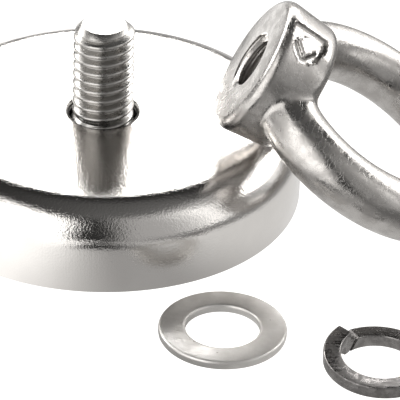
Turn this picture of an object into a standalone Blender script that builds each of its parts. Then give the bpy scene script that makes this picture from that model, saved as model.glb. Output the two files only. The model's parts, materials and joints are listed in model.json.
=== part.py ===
"""Magnet fishing magnet, laid out as a kit: pot magnet with its stud, two washers and an eye nut.

Frame: millimetres in the named sizes, metres in the model. +Z is up, the table is z = 0, and the
origin is under the middle of the whole layout. The pot stands with its rim down on the -X side,
the eye nut leans on its +X shoulder, and both washers lie in front of it, towards -Y. Sizes and
places are worked out from the pot's axis, and every piece hangs on one empty that stands there.
"""

from math import cos, radians, sin, sqrt, tau

import bmesh
import bpy
from mathutils import Matrix, Vector

MM = 0.001
GAP = 0.3  # clearance left between pieces that touch

# pot
POT_DIAMETER = 62.5
POT_HEIGHT = 13.5
SHOULDER_RADIUS = 6.2
WALL = 3.5
TOP_PLATE = 4.5
ROOF_FILLET = 1.0
RIM_CHAMFER = 0.4
STUD_CLEARANCE = 0.9  # how much wider the hole is than the stud
HOLE_EDGE_RADIUS = 0.75

# stud: a countersunk socket screw, 3/8-16 UNC
STUD_DIAMETER = 9.525
THREAD_PITCH = 1.5875
THREAD_DEPTH = 0.95
STUD_STANDOUT = 15.3  # above the pot's top
STUD_END_CHAMFER = 1.3
HEAD_DEPTH = 3.7  # cone, 90 degrees
HEAD_LAND = 0.4
SOCKET_ACROSS_FLATS = 6.35
SOCKET_DEPTH = 3.0

# magnet and potting
MAGNET_RECESS = 0.4  # magnet face above the rim's plane
MAGNET_BORE = 24.0
POTTING_WALL = 1.45
BUSH_WALL = 2.7
BUSH_RECESS = 0.6

# washers
WASHER_CLEARANCE = 1.475  # how much wider both holes are than the stud
FLAT_DIAMETER = 19.0
FLAT_THICKNESS = 1.45
FLAT_EDGE = 0.4
SPRING_DIAMETER = 16.2
SPRING_THICKNESS = 2.0
SPRING_EDGE = 0.3
SPRING_RISE = 1.5  # how far the free end stands up
SPRING_SPLIT = 7.0  # degrees
SPRING_LIFT_FROM = 0.45  # share of the turn that lies flat
SPRING_SLANT = 13.6  # degrees that the top of each cut end is turned ahead of its foot

# eye nut
BOSS_DIAMETER = 22.4
BOSS_LENGTH = 9.8
BOSS_EDGE = 2.0
BOSS_TAPER = 1.0  # how much the boss's radius shrinks towards the ring
BOSS_INNER_EDGE = 1.2
RING_BORE = 24.8
RING_BAR = 9.0
FACE_TO_RING = 22.3  # nut face to the ring's centre
NUT_CHAMFER = 1.15
PAD_ANGLE = -23.0  # degrees round the boss from its top side
PAD_HEIGHT = 4.3  # middle of the pad above the nut face
PAD_WIDTH = 5.8
PAD_DEPTH = 0.5

# places on the table, seen from the pot's axis, and against the pot
FLAT_BEARING = -64.4  # degrees from +X
FLAT_AWAY = 4.6  # clear table between the pot and the flat washer
SPRING_BEARING = -48.8
SPRING_AWAY = 24.9
SPRING_TURN = 137.0  # degrees, where the split points
NUT_LEAN = 31.6  # degrees, how far the nut's face looks up
NUT_ROLL = 5.35  # degrees, turn of the ring about the thread's axis
NUT_OFFSET = -7.75  # thread axis in front of the pot's axis
NUT_OVERHANG = 15.0  # how far the nut's face reaches in over the pot

ROUND_STEPS = 64
INNER_STEPS = 48
THREAD_STEPS = 20
RINGS_PER_PITCH = 4

POT_RADIUS = POT_DIAMETER / 2
STUD_RADIUS = STUD_DIAMETER / 2
BOSS_RADIUS = BOSS_DIAMETER / 2
HOLE_RADIUS = STUD_RADIUS + STUD_CLEARANCE / 2
WASHER_BORE = (STUD_DIAMETER + WASHER_CLEARANCE) / 2
NUT_CORE = STUD_RADIUS - 0.75 * THREAD_DEPTH
CAVITY_RADIUS = POT_RADIUS - WALL
ROOF = POT_HEIGHT - TOP_PLATE
FILL_TOP = ROOF - GAP
SEAT_TOP = ROOF + HEAD_DEPTH


def arc(centre_r, centre_z, radius, start, end, steps):
    """Points of a round stretch in the radius-height plane, angles in degrees."""
    angles = [radians(start + (end - start) * i / steps) for i in range(steps + 1)]
    return [(centre_r + radius * cos(a), centre_z + radius * sin(a)) for a in angles]


def material(name, colour, roughness, metallic):
    made = bpy.data.materials.new(name)
    made.use_nodes = True
    shader = made.node_tree.nodes["Principled BSDF"]
    shader.inputs["Base Color"].default_value = (*colour, 1.0)
    shader.inputs["Roughness"].default_value = roughness
    shader.inputs["Metallic"].default_value = metallic
    return made


def add_object(name, mesh_data, finish):
    """Mesh data from a bmesh, in millimetres, becomes a named object in metres."""
    bmesh.ops.recalc_face_normals(mesh_data, faces=mesh_data.faces)
    bmesh.ops.scale(mesh_data, vec=(MM, MM, MM), verts=mesh_data.verts)
    mesh = bpy.data.meshes.new(name)
    mesh_data.to_mesh(mesh)
    mesh_data.free()
    mesh.shade_smooth()
    mesh.set_sharp_from_angle(angle=radians(35))
    mesh.materials.append(finish)
    made = bpy.data.objects.new(name, mesh)
    bpy.context.scene.collection.objects.link(made)
    return made


def turned(outline, steps=ROUND_STEPS, full_ring=True):
    """Revolve a radius-height outline about Z. An outline that starts and ends on the axis
    gives a solid, and any other outline closes on itself and gives a ring."""
    shape = bmesh.new()
    columns = []
    for i in range(steps):
        angle = tau * i / steps
        columns.append([shape.verts.new((r * cos(angle), r * sin(angle), z)) for r, z in outline])
    count = len(outline)
    spans = range(count) if full_ring else range(count - 1)
    for i in range(steps):
        here, there = columns[i], columns[(i + 1) % steps]
        for j in spans:
            k = (j + 1) % count
            shape.faces.new((here[j], there[j], there[k], here[k]))
    bmesh.ops.remove_doubles(shape, verts=shape.verts, dist=0.0001)
    return shape


def cut(target, cutter):
    """Take the cutter's shape out of the target, and keep the cutter as a hidden guide."""
    step = target.modifiers.new("cut_" + cutter.name, "BOOLEAN")
    step.operation = "DIFFERENCE"
    step.solver = "EXACT"
    step.object = cutter
    hide_guide(cutter)


def hide_guide(guide):
    guide.hide_render = True
    guide.display_type = "WIRE"


def pot_cup(finish):
    """Drawn steel cup: round shoulder outside, countersunk hole for the stud's head."""
    corner = arc(POT_RADIUS - SHOULDER_RADIUS, POT_HEIGHT - SHOULDER_RADIUS, SHOULDER_RADIUS, 0, 90, 6)
    lip = min(HOLE_EDGE_RADIUS, 0.9 * (TOP_PLATE - HEAD_DEPTH))
    edge = arc(HOLE_RADIUS + lip, POT_HEIGHT - lip, lip, 90, 180, 4)
    seat = [(HOLE_RADIUS, SEAT_TOP), (HOLE_RADIUS + HEAD_DEPTH, ROOF)]
    fillet = arc(CAVITY_RADIUS - ROOF_FILLET, ROOF - ROOF_FILLET, ROOF_FILLET, 90, 0, 3)
    rim = [(CAVITY_RADIUS, 0.0), (POT_RADIUS - RIM_CHAMFER, 0.0), (POT_RADIUS, RIM_CHAMFER)]
    return add_object("pot_cup", turned(corner + edge + seat + fillet + rim), finish)


def plain_ring(name, inner, outer, bottom, top, edge, finish, steps=INNER_STEPS):
    """A turned ring with chamfered edges."""
    outline = [
        (outer - edge, bottom),
        (outer, bottom + edge),
        (outer, top - edge),
        (outer - edge, top),
        (inner + edge, top),
        (inner, top - edge),
        (inner, bottom + edge),
        (inner + edge, bottom),
    ]
    return add_object(name, turned(outline, steps), finish)


def thread_radius(height, turn, top):
    """Radius of a rolled thread with rounded crests, fading out under the end chamfer."""
    phase = cos(tau * (height / THREAD_PITCH - turn))
    fade = min(1.0, max(0.0, (top - height) / THREAD_PITCH))
    return STUD_RADIUS - THREAD_DEPTH * fade * (0.5 - 0.5 * phase)


def countersunk_screw(finish):
    """Screw with its head seated under the pot's top plate and its thread standing up."""
    top = POT_HEIGHT + STUD_STANDOUT
    neck = SEAT_TOP
    head_radius = HOLE_RADIUS + HEAD_DEPTH - GAP * sqrt(2)
    thread_top = top - STUD_END_CHAMFER
    rings = int((thread_top - neck) / THREAD_PITCH * RINGS_PER_PITCH)
    heights = [neck + (thread_top - neck) * i / rings for i in range(rings + 1)]
    shape = bmesh.new()
    loops = []
    for radius, height in ((head_radius, ROOF - HEAD_LAND), (head_radius, ROOF)):
        loops.append([(radius, height)] * THREAD_STEPS)
    core = STUD_RADIUS - THREAD_DEPTH
    loops.append([(core, ROOF + head_radius - core)] * THREAD_STEPS)
    for height in heights[2:]:
        loops.append([(thread_radius(height, i / THREAD_STEPS, top), height) for i in range(THREAD_STEPS)])
    loops.append([(STUD_RADIUS - STUD_END_CHAMFER, top)] * THREAD_STEPS)
    rows = []
    for loop in loops:
        row = []
        for i, (radius, height) in enumerate(loop):
            angle = tau * i / THREAD_STEPS
            row.append(shape.verts.new((radius * cos(angle), radius * sin(angle), height)))
        rows.append(row)
    for lower, upper in zip(rows, rows[1:]):
        for i in range(THREAD_STEPS):
            j = (i + 1) % THREAD_STEPS
            shape.faces.new((lower[i], lower[j], upper[j], upper[i]))
    shape.faces.new(rows[0])
    shape.faces.new(rows[-1])
    screw = add_object("countersunk_screw", shape, finish)
    cut(screw, socket_cutter())
    return screw


def socket_cutter():
    """Hexagonal prism that cuts the key socket into the head's underside."""
    shape = bmesh.new()
    radius = SOCKET_ACROSS_FLATS / sqrt(3)
    bottom = ROOF - HEAD_LAND - 1.0
    bmesh.ops.create_cone(shape, segments=6, radius1=radius, radius2=radius, cap_ends=True,
                          depth=SOCKET_DEPTH + 1.0)
    bmesh.ops.translate(shape, verts=shape.verts, vec=(0, 0, bottom + (SOCKET_DEPTH + 1.0) / 2))
    return add_object("socket_cutter", shape, material("cutter_socket", (0.5, 0.5, 0.5), 0.5, 0.0))


def on_table(bearing, away):
    """A place on the table, so far out from the pot's wall in the given direction."""
    reach = POT_RADIUS + away
    return Vector((reach * cos(radians(bearing)), reach * sin(radians(bearing)), 0.0)) * MM


def flat_washer(finish):
    outer = FLAT_DIAMETER / 2
    washer = plain_ring("flat_washer", WASHER_BORE, outer, 0.0, FLAT_THICKNESS, FLAT_EDGE, finish,
                        ROUND_STEPS)
    washer.location = on_table(FLAT_BEARING, FLAT_AWAY + outer)
    return washer


def spring_lift(share):
    """Height of the split washer's underside along its turn, from the low end to the raised end."""
    raised = max(0.0, (share - SPRING_LIFT_FROM) / (1.0 - SPRING_LIFT_FROM))
    return SPRING_RISE * raised ** 2


def spring_washer(finish):
    """Split washer: a nearly square bar bent round once, with one end sprung up."""
    inner, outer = WASHER_BORE, SPRING_DIAMETER / 2
    high, edge = SPRING_THICKNESS, SPRING_EDGE
    section = [
        (inner + edge, 0.0), (outer - edge, 0.0), (outer, edge), (outer, high - edge),
        (outer - edge, high), (inner + edge, high), (inner, high - edge), (inner, edge),
    ]
    shape = bmesh.new()
    rows = []
    span = 360.0 - SPRING_SPLIT
    for i in range(ROUND_STEPS + 1):
        share = i / ROUND_STEPS
        angle = radians(SPRING_TURN - SPRING_SPLIT / 2 - span * share)
        lift = spring_lift(share)
        row = []
        for radius, height in section:
            turn = angle - radians(SPRING_SLANT) * (height / high - 0.5)
            row.append(shape.verts.new((radius * cos(turn), radius * sin(turn), height + lift)))
        rows.append(row)
    for here, there in zip(rows, rows[1:]):
        for j in range(len(section)):
            k = (j + 1) % len(section)
            shape.faces.new((here[j], there[j], there[k], here[k]))
    shape.faces.new(rows[0])
    shape.faces.new(rows[-1])
    washer = add_object("spring_washer", shape, finish)
    washer.location = on_table(SPRING_BEARING, SPRING_AWAY + outer)
    return washer


def nut_face_centre():
    """Where the nut's face comes when its boss rests on the pot's shoulder at the given lean."""
    lean = radians(NUT_LEAN)
    shoulder_x = sqrt((POT_RADIUS - SHOULDER_RADIUS) ** 2 - NUT_OFFSET ** 2)
    shoulder_z = POT_HEIGHT - SHOULDER_RADIUS
    support = shoulder_x * sin(lean) + shoulder_z * cos(lean) + SHOULDER_RADIUS
    lift = support + GAP + BOSS_RADIUS - BOSS_TAPER
    reach = POT_RADIUS * cos(lean) - POT_HEIGHT * sin(lean) - NUT_OVERHANG
    return Vector((lift * sin(lean) + reach * cos(lean), NUT_OFFSET,
                   lift * cos(lean) - reach * sin(lean)))


def nut_place():
    """Rest place of the eye nut: local -Z is its face, local X lies in the ring's plane."""
    lean, roll = radians(NUT_LEAN), radians(NUT_ROLL)
    face = Vector((-cos(lean), 0.0, sin(lean)))
    side = Vector((0.0, 1.0, 0.0))
    side.rotate(Matrix.Rotation(-roll, 3, face))
    back = -face
    turn = Matrix((side, back.cross(side), back)).transposed().to_4x4()
    return Matrix.Translation(nut_face_centre() * MM) @ turn


def layout_centre():
    """Middle of the whole kit on the table, seen from the pot's axis."""
    place = nut_place()
    normal = place.col[1].to_3d()
    middle = (RING_BORE + RING_BAR) / 2
    ring_centre = nut_face_centre() + FACE_TO_RING * place.col[2].to_3d()
    far_x = ring_centre.x + middle * sqrt(1.0 - normal.x ** 2) + RING_BAR / 2
    spring_radius = SPRING_DIAMETER / 2
    near_y = on_table(SPRING_BEARING, SPRING_AWAY + spring_radius).y / MM - spring_radius
    return Vector(((far_x - POT_RADIUS) / 2, (near_y + POT_RADIUS) / 2, 0.0))


def eye_ring(steps_round=48, steps_bar=16):
    """Torus standing on the nut's axis, in the local XZ plane."""
    middle = (RING_BORE + RING_BAR) / 2
    bar = RING_BAR / 2
    shape = bmesh.new()
    rows = []
    for i in range(steps_round):
        angle = tau * (i + 0.5) / steps_round
        row = []
        for j in range(steps_bar):
            around = tau * (j + 0.5) / steps_bar
            reach = middle + bar * cos(around)
            height = FACE_TO_RING + reach * sin(angle)
            row.append(shape.verts.new((reach * cos(angle), bar * sin(around), height)))
        rows.append(row)
    for i in range(steps_round):
        here, there = rows[i], rows[(i + 1) % steps_round]
        for j in range(steps_bar):
            k = (j + 1) % steps_bar
            shape.faces.new((here[j], there[j], there[k], here[k]))
    return shape


def pad_cutter():
    """Shield outline cut shallow into the boss, round a plain raised lozenge. The shield's
    straight side runs along the thread's axis and its point lies further round the boss."""
    half = PAD_WIDTH / 2
    shield = [(half, -half), (half, half), (0.0, half), (-half, half * 0.5), (-half * 1.2, 0.0),
              (-half, -half * 0.5), (0.0, -half)]
    lozenge = [(half * 0.55, 0.0), (0.0, half * 0.5), (-half * 0.6, 0.0), (0.0, -half * 0.5)]
    floor = BOSS_RADIUS - PAD_DEPTH
    shape = bmesh.new()
    loops = {floor: [], floor + 3.0: []}
    for outline in (shield, lozenge):
        rims = []
        for level, found in loops.items():
            rims.append([shape.verts.new((x, level, z)) for x, z in outline])
            found.append(rims[-1])
        low, high = rims
        for i in range(len(outline)):
            j = (i + 1) % len(outline)
            shape.faces.new((low[i], low[j], high[j], high[i]))
    for found in loops.values():
        edges = [shape.edges.get((rim[i - 1], rim[i])) for rim in found for i in range(len(rim))]
        bmesh.ops.triangle_fill(shape, edges=edges, use_beauty=True)
    spin = Matrix.Rotation(-radians(PAD_ANGLE), 4, "Z")
    bmesh.ops.transform(shape, matrix=Matrix.Translation((0, 0, PAD_HEIGHT)) @ spin, verts=shape.verts)
    return shape


def eye_nut(finish):
    """Lifting eye nut: forged ring on a round boss with a threaded through hole."""
    far_edge = BOSS_RADIUS - BOSS_TAPER - BOSS_INNER_EDGE
    outline = [(0.0, 0.0)]
    outline += arc(BOSS_RADIUS - BOSS_EDGE, BOSS_EDGE, BOSS_EDGE, -90, 0, 3)
    outline += arc(far_edge, BOSS_LENGTH - BOSS_INNER_EDGE, BOSS_INNER_EDGE, 0, 90, 3)
    outline += [(0.0, BOSS_LENGTH)]
    nut = add_object("eye_nut", turned(outline, INNER_STEPS, full_ring=False), finish)
    ring = add_object("eye_ring_guide", eye_ring(), finish)
    join = nut.modifiers.new("join_ring", "BOOLEAN")
    join.operation = "UNION"
    join.solver = "EXACT"
    join.object = ring
    hide_guide(ring)
    over = 4.0
    inner_end = BOSS_LENGTH - NUT_CHAMFER / 2
    bore = [
        (0.0, -over), (NUT_CORE + NUT_CHAMFER + over, -over), (NUT_CORE, NUT_CHAMFER),
        (NUT_CORE, inner_end), (NUT_CORE + over, inner_end + over), (0.0, inner_end + over),
    ]
    drill = add_object("bore_guide", turned(bore, INNER_STEPS, full_ring=False), finish)
    pad = add_object("pad_guide", pad_cutter(), finish)
    cut(nut, drill)
    cut(nut, pad)
    for piece in (nut, ring, drill, pad):
        piece.matrix_world = nut_place()
    return nut


def hang_on_layout():
    """Parent every piece and guide to one empty on the pot's axis, and centre the layout."""
    layout = bpy.data.objects.new("layout", None)
    bpy.context.scene.collection.objects.link(layout)
    for piece in bpy.context.scene.objects:
        if piece is not layout:
            piece.parent = layout
    layout.location = -layout_centre() * MM


def build():
    for old in list(bpy.data.objects):
        bpy.data.objects.remove(old, do_unlink=True)
    nickel = material("nickel_plate", (0.78, 0.76, 0.72), 0.06, 1.0)
    magnet = material("magnet_nickel", (0.62, 0.60, 0.57), 0.22, 1.0)
    resin = material("potting_resin", (0.03, 0.03, 0.035), 0.45, 0.0)
    bush = material("bush_plastic", (0.06, 0.06, 0.07), 0.5, 0.0)
    bolt = material("stud_steel", (0.60, 0.57, 0.53), 0.25, 1.0)
    tumbled = material("washer_steel", (0.66, 0.64, 0.60), 0.35, 1.0)
    spring = material("spring_steel", (0.68, 0.66, 0.63), 0.3, 1.0)
    cast = material("eye_nut_steel", (0.56, 0.54, 0.51), 0.3, 1.0)
    pot_cup(nickel)
    potting_outer = CAVITY_RADIUS - GAP
    potting_inner = potting_outer - POTTING_WALL
    magnet_inner = MAGNET_BORE / 2
    bush_outer = magnet_inner - GAP
    bush_top = ROOF - HEAD_LAND - GAP
    plain_ring("ring_magnet", magnet_inner, potting_inner - GAP, MAGNET_RECESS, FILL_TOP, 0.3, magnet)
    plain_ring("outer_potting", potting_inner, potting_outer, MAGNET_RECESS, ROOF - ROOF_FILLET, 0.1, resin)
    plain_ring("centre_bush", bush_outer - BUSH_WALL, bush_outer, BUSH_RECESS, bush_top, 0.2, bush)
    countersunk_screw(bolt)
    flat_washer(tumbled)
    spring_washer(spring)
    eye_nut(cast)
    hang_on_layout()


build()
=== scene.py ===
"""Magnet fishing magnet, laid out as a kit on a white table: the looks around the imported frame.

Every piece is modelled where the frame says its CAD node stands, and takes that node's place.
Lengths are metres. The pot's axis is vertical; the eye nut has a leaning frame of its own,
whose -Z is the nut's face and whose X lies in the plane of the ring.
"""

import json
import logging
from dataclasses import dataclass
from enum import Enum
from math import atan2, cos, degrees, pi, radians, sin, sqrt, tau
from typing import Callable

import bmesh
import bpy
from mathutils import Matrix, Vector


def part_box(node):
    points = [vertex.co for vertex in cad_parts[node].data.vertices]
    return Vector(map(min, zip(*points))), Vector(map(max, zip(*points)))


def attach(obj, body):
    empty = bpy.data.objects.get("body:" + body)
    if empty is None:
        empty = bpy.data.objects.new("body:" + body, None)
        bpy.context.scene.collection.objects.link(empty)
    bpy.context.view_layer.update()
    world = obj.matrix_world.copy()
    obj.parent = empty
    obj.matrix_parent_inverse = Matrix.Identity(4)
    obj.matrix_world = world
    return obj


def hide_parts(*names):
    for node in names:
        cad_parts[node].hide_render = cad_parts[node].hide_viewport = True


LOG = logging.getLogger("magnet_kit")
MM = 0.001
# Painted shade: the near-black colour laid on the plating round the stud's hole, standing in for the shadow
# and dark reflection of the gap round the stud.
LIP_PAINTED_SHADE = (0.06, 0.057, 0.053, 1.0)
WALL_STREAKS = (30.8 * MM, 31.2 * MM)  # radii between which the streaks of a drawn wall start


# ---------------------------------------------------------------- bench: modelling helpers


class Part(Enum):
    """Which elements of a mesh a selection works on."""

    VERTS = "verts"
    EDGES = "edges"
    FACES = "faces"


def deselect_all() -> None:
    """Leave nothing selected and no object in edit mode."""
    if bpy.context.object is not None and bpy.context.object.mode != "OBJECT":
        bpy.ops.object.mode_set(mode="OBJECT")
    bpy.ops.object.select_all(action="DESELECT")


def take(piece: bpy.types.Object) -> None:
    """Make one object the only selected and the active one."""
    deselect_all()
    piece.select_set(True)
    bpy.context.view_layer.objects.active = piece


def begin_edit(piece: bpy.types.Object) -> None:
    """Enter edit mode on one object with nothing selected."""
    take(piece)
    bpy.ops.object.mode_set(mode="EDIT")
    bpy.ops.mesh.select_mode(type="VERT")
    bpy.ops.mesh.select_all(action="DESELECT")


def end_edit() -> None:
    """Leave edit mode."""
    bpy.ops.object.mode_set(mode="OBJECT")


def pick(piece: bpy.types.Object, part: Part, test: Callable[..., bool]) -> int:
    """Select the elements that pass a test, in edit mode.

    Args:
        piece: The object in edit mode.
        part: Whether vertices, edges or faces are tested.
        test: Gets a bmesh element and says whether it is wanted.

    Returns:
        How many elements are now selected.
    """
    mode = {Part.VERTS: "VERT", Part.EDGES: "EDGE", Part.FACES: "FACE"}[part]
    bpy.ops.mesh.select_mode(type=mode)
    bpy.ops.mesh.select_all(action="DESELECT")
    shape = bmesh.from_edit_mesh(piece.data)
    count = 0
    for element in getattr(shape, part.value):
        if test(element):
            element.select_set(True)
            count += 1
    bmesh.update_edit_mesh(piece.data)
    return count


def named(name: str) -> bpy.types.Object:
    """Name the object that an operator has just added, and return it."""
    piece = bpy.context.object
    piece.name = name
    piece.data.name = name
    return piece


def apply_modifier(piece: bpy.types.Object, kind: str, **settings: object) -> None:
    """Add a modifier with its settings and apply it."""
    step = piece.modifiers.new(kind.lower(), kind)
    for key, value in settings.items():
        setattr(step, key, value)
    take(piece)
    bpy.ops.object.modifier_apply(modifier=step.name)


def combine(piece: bpy.types.Object, tool: bpy.types.Object, operation: str) -> None:
    """Boolean the tool into the piece and throw the tool away."""
    apply_modifier(piece, "BOOLEAN", operation=operation, solver="EXACT", object=tool)
    bpy.data.objects.remove(tool, do_unlink=True)


def settle(piece: bpy.types.Object, place: Matrix | None = None, sharp: float = 40.0) -> None:
    """Move a finished piece to its place, bake the place into its mesh and shade it.

    Args:
        piece: The finished piece.
        place: Its place in the row frame, or None where it was modelled in place.
        sharp: Edges bent by more than this many degrees stay crisp.
    """
    if place is not None:
        piece.matrix_world = place
    take(piece)
    bpy.ops.object.transform_apply(location=True, rotation=True, scale=True)
    bpy.ops.object.shade_smooth_by_angle(angle=radians(sharp))


def recalculate(piece: bpy.types.Object) -> None:
    """Merge doubles and turn every face outwards."""
    begin_edit(piece)
    bpy.ops.mesh.select_all(action="SELECT")
    bpy.ops.mesh.remove_doubles(threshold=0.000002)
    bpy.ops.mesh.normals_make_consistent(inside=False)
    end_edit()


def turned_ring(
    name: str, inner: float, outer: float, bottom: float, top: float, edge: float, steps: int = 192
) -> bpy.types.Object:
    """A ring turned from bar: bored through and with its four edges rounded.

    Args:
        name: The piece's name.
        inner: Bore radius.
        outer: Outer radius.
        bottom: Height of the lower face.
        top: Height of the upper face.
        edge: Radius of the edges.
        steps: Segments round the ring.

    Returns:
        The ring, with its axis on the world's Z axis.
    """
    bpy.ops.mesh.primitive_cylinder_add(
        vertices=steps, radius=outer, depth=top - bottom, location=(0, 0, (top + bottom) / 2)
    )
    ring = named(name)
    bpy.ops.object.transform_apply(location=True, rotation=False, scale=False)
    begin_edit(ring)
    pick(ring, Part.FACES, lambda f: abs(f.normal.z) > 0.9)
    bpy.ops.mesh.inset(thickness=outer - inner, use_individual=True)
    bpy.ops.mesh.bridge_edge_loops()
    pick(ring, Part.EDGES, lambda e: is_level_circle(e))
    bpy.ops.mesh.bevel(offset=edge, segments=4, profile=0.5, affect="EDGES")
    end_edit()
    recalculate(ring)
    return ring


def is_level_circle(edge: bmesh.types.BMEdge) -> bool:
    """Whether an edge is part of a level circle with a sharp corner across it."""
    low, high = edge.verts
    level = abs(low.co.z - high.co.z) < 1e-6
    round_it = abs(low.co.xy.length - high.co.xy.length) < 1e-6
    return level and round_it and len(edge.link_faces) == 2 and edge.calc_face_angle(0.0) > radians(50)


def spun(name: str, outline: list[tuple[float, float]], steps: int = 128) -> bpy.types.Object:
    """Spin a radius-height outline about Z into a solid. The outline starts and ends on the axis."""
    bpy.ops.mesh.primitive_plane_add(size=MM)
    piece = named(name)
    begin_edit(piece)
    bpy.ops.mesh.select_all(action="SELECT")
    bpy.ops.mesh.delete(type="VERT")
    shape = bmesh.from_edit_mesh(piece.data)
    points = [shape.verts.new((radius, 0.0, height)) for radius, height in outline]
    for first, second in zip(points, points[1:]):
        shape.edges.new((first, second))
    bmesh.update_edit_mesh(piece.data)
    bpy.ops.mesh.select_all(action="SELECT")
    bpy.ops.mesh.spin(steps=steps, angle=tau, center=(0, 0, 0), axis=(0, 0, 1))
    end_edit()
    recalculate(piece)
    return piece


@dataclass(frozen=True)
class Thread:
    """A right-hand thread with rounded crests and roots.

    Attributes:
        radius: Crest radius.
        pitch: Travel in one turn.
        depth: Crest to root.
        slack: Extra radius, for a thread that is cut to fit over another.
    """

    radius: float
    pitch: float
    depth: float
    slack: float = 0.0

    def profile(self) -> list[tuple[float, float]]:
        """Radius-height points of one pitch, root to root."""
        crest = self.radius + self.slack
        root = crest - self.depth
        shape = ((0.0, 0.0), (0.07, 0.02), (0.16, 0.2), (0.3, 0.72), (0.37, 0.92), (0.45, 1.0))
        rising = [(root + share * self.depth, height * self.pitch) for height, share in shape]
        falling = [(radius, self.pitch - height) for radius, height in reversed(rising)]
        return rising + falling

    def rod(self, name: str, bottom: float, top: float, steps: int = 72) -> bpy.types.Object:
        """A threaded rod about Z, cut square at both ends.

        Args:
            name: The piece's name.
            bottom: Height of the lower end.
            top: Height of the upper end.
            steps: Segments in one turn.

        Returns:
            The closed rod.
        """
        bpy.ops.mesh.primitive_plane_add(size=MM)
        rod = named(name)
        begin_edit(rod)
        bpy.ops.mesh.select_all(action="SELECT")
        bpy.ops.mesh.delete(type="VERT")
        shape = bmesh.from_edit_mesh(rod.data)
        start = bottom - 2.0 * self.pitch
        points = [shape.verts.new((r, 0.0, z + start)) for r, z in self.profile()]
        for first, second in zip(points, points[1:]):
            shape.edges.new((first, second))
        bmesh.update_edit_mesh(rod.data)
        end_edit()
        turns = int((top - bottom) / self.pitch) + 4
        apply_modifier(
            rod, "SCREW", axis="Z", angle=tau, screw_offset=self.pitch, iterations=turns,
            steps=steps, render_steps=steps, use_merge_vertices=True, merge_threshold=0.000001,
        )
        begin_edit(rod)
        for height, clear_lower in ((bottom, True), (top, False)):
            bpy.ops.mesh.select_all(action="SELECT")
            bpy.ops.mesh.bisect(
                plane_co=(0, 0, height), plane_no=(0, 0, 1), use_fill=True, threshold=1e-7,
                clear_inner=clear_lower, clear_outer=not clear_lower,
            )
        end_edit()
        recalculate(rod)
        return rod


# ---------------------------------------------------------------- finishes


class Graph:
    """Short-hand for building a node tree from left to right."""

    def __init__(self, tree: bpy.types.NodeTree) -> None:
        """Work on one node tree."""
        self.tree = tree
        self.column = 0

    def node(self, kind: str, inputs: dict | None = None, **settings: object) -> bpy.types.Node:
        """Add a node, set its properties, and set or link its inputs."""
        made = self.tree.nodes.new(kind)
        self.column += 1
        made.location = (self.column * 180, -(self.column % 4) * 160)
        for key, value in settings.items():
            setattr(made, key, value)
        for key, value in (inputs or {}).items():
            self.feed(made.inputs[key], value)
        return made

    def feed(self, socket: bpy.types.NodeSocket, value: object) -> None:
        """Link an output to a socket, or set the socket to a constant."""
        if isinstance(value, bpy.types.NodeSocket):
            self.tree.links.new(value, socket)
        else:
            socket.default_value = value

    def math(self, operation: str, *values: object, clamp: bool = False) -> bpy.types.NodeSocket:
        """A Math node's result."""
        made = self.node("ShaderNodeMath", dict(enumerate(values)), operation=operation)
        made.use_clamp = clamp
        return made.outputs[0]

    def remap(
        self, value: object, low: float, high: float, to_low: float = 0.0, to_high: float = 1.0
    ) -> bpy.types.NodeSocket:
        """A smooth step of a value from one range to another."""
        made = self.node(
            "ShaderNodeMapRange",
            {"Value": value, "From Min": low, "From Max": high, "To Min": to_low, "To Max": to_high},
            interpolation_type="SMOOTHSTEP",
        )
        return made.outputs["Result"]

    def band(self, value: object, low: float, high: float, soft: float) -> bpy.types.NodeSocket:
        """1 between two limits and 0 outside, with soft edges."""
        rise = self.remap(value, low - soft, low + soft)
        fall = self.remap(value, high - soft, high + soft, 1.0, 0.0)
        return self.math("MULTIPLY", rise, fall)

    def blend(self, share: object, first: object, second: object, how: str = "MIX") -> bpy.types.NodeSocket:
        """A colour blend of two colours."""
        made = self.node("ShaderNodeMix", data_type="RGBA", blend_type=how)
        self.feed(made.inputs[0], share)
        self.feed(made.inputs[6], first)
        self.feed(made.inputs[7], second)
        return made.outputs[2]

    def noise(
        self, vector: object, scale: float, detail: float = 3.0, rough: float = 0.55
    ) -> bpy.types.NodeSocket:
        """Fractal noise between 0 and 1."""
        made = self.node(
            "ShaderNodeTexNoise", {"Vector": vector, "Scale": scale, "Detail": detail, "Roughness": rough}
        )
        return made.outputs["Fac"]


def effect(name: str, inputs: dict[str, tuple[str, object]], outputs: dict[str, str]) -> tuple:
    """Start a shader node group.

    Args:
        name: The group's name.
        inputs: Input names with their socket type and default value.
        outputs: Output names with their socket type.

    Returns:
        The group, its graph, and its input and output nodes.
    """
    group = bpy.data.node_groups.new(name, "ShaderNodeTree")
    for label, (kind, value) in inputs.items():
        socket = group.interface.new_socket(label, in_out="INPUT", socket_type=kind)
        if value is not None:
            socket.default_value = value
    for label, kind in outputs.items():
        group.interface.new_socket(label, in_out="OUTPUT", socket_type=kind)
    graph = Graph(group)
    return group, graph, graph.node("NodeGroupInput"), graph.node("NodeGroupOutput")


FLOAT, VECTOR = "NodeSocketFloat", "NodeSocketVector"


def build_grain() -> bpy.types.NodeTree:
    """Fine surface grain: a height for bump and a slow variation for roughness and colour."""
    group, graph, given, result = effect(
        "surface_grain",
        {"Vector": (VECTOR, None), "Grain Size": (FLOAT, 0.4), "Patch Size": (FLOAT, 6.0)},
        {"Height": FLOAT, "Patches": FLOAT},
    )
    fine = graph.math("DIVIDE", 1.0 / MM, given.outputs["Grain Size"])
    broad = graph.math("DIVIDE", 1.0 / MM, given.outputs["Patch Size"])
    small = graph.noise(given.outputs["Vector"], fine, 4.0)
    large = graph.noise(given.outputs["Vector"], broad, 3.0)
    graph.feed(result.inputs["Height"], small)
    graph.feed(result.inputs["Patches"], graph.remap(large, 0.3, 0.7))
    return group


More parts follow.
